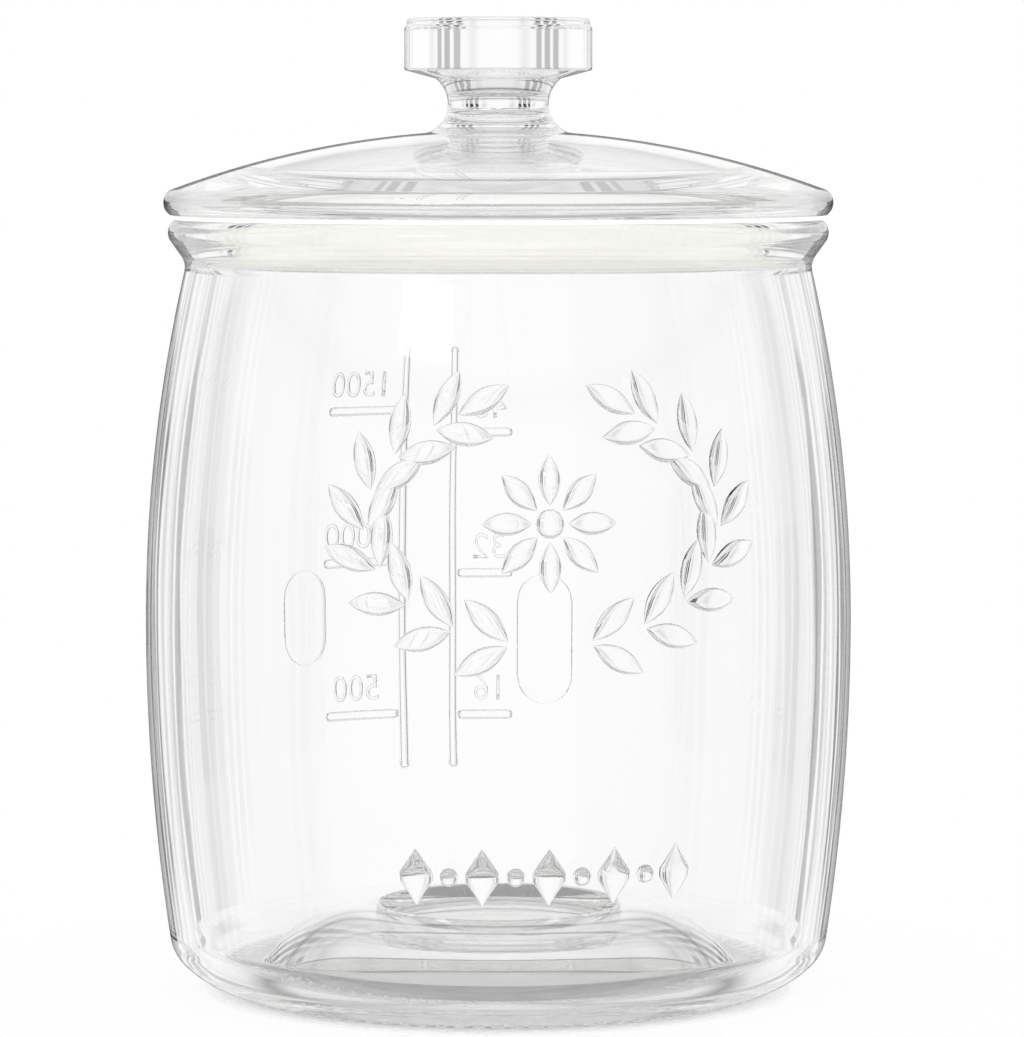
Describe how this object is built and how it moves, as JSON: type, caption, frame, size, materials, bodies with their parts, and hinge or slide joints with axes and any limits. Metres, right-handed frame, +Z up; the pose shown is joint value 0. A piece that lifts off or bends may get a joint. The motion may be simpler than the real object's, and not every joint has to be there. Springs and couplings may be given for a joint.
{
  "type": "cookie jar",
  "caption": "Empty clear glass cookie jar with a barrel-shaped body, pushed-up floor, beaded mouth, soft seal ring and a domed glass lid with a disc knob.",
  "frame": {"origin": "centre of the circle that the jar stands on, at the underside of its foot", "axes": "+Z up the jar's axis to the knob; -Y towards the front, where the ornament is; +X to the right seen from the front"},
  "size_m": [0.1468, 0.1488, 0.2014],
  "materials": {
    "glass": "clear colourless pressed glass, fire polished",
    "seal": "milky translucent soft seal, satin"
  },
  "bodies": {
    "root": {"jar": "glass", "lid": "glass", "seal_ring": "seal"}
  },
  "joints": []
}
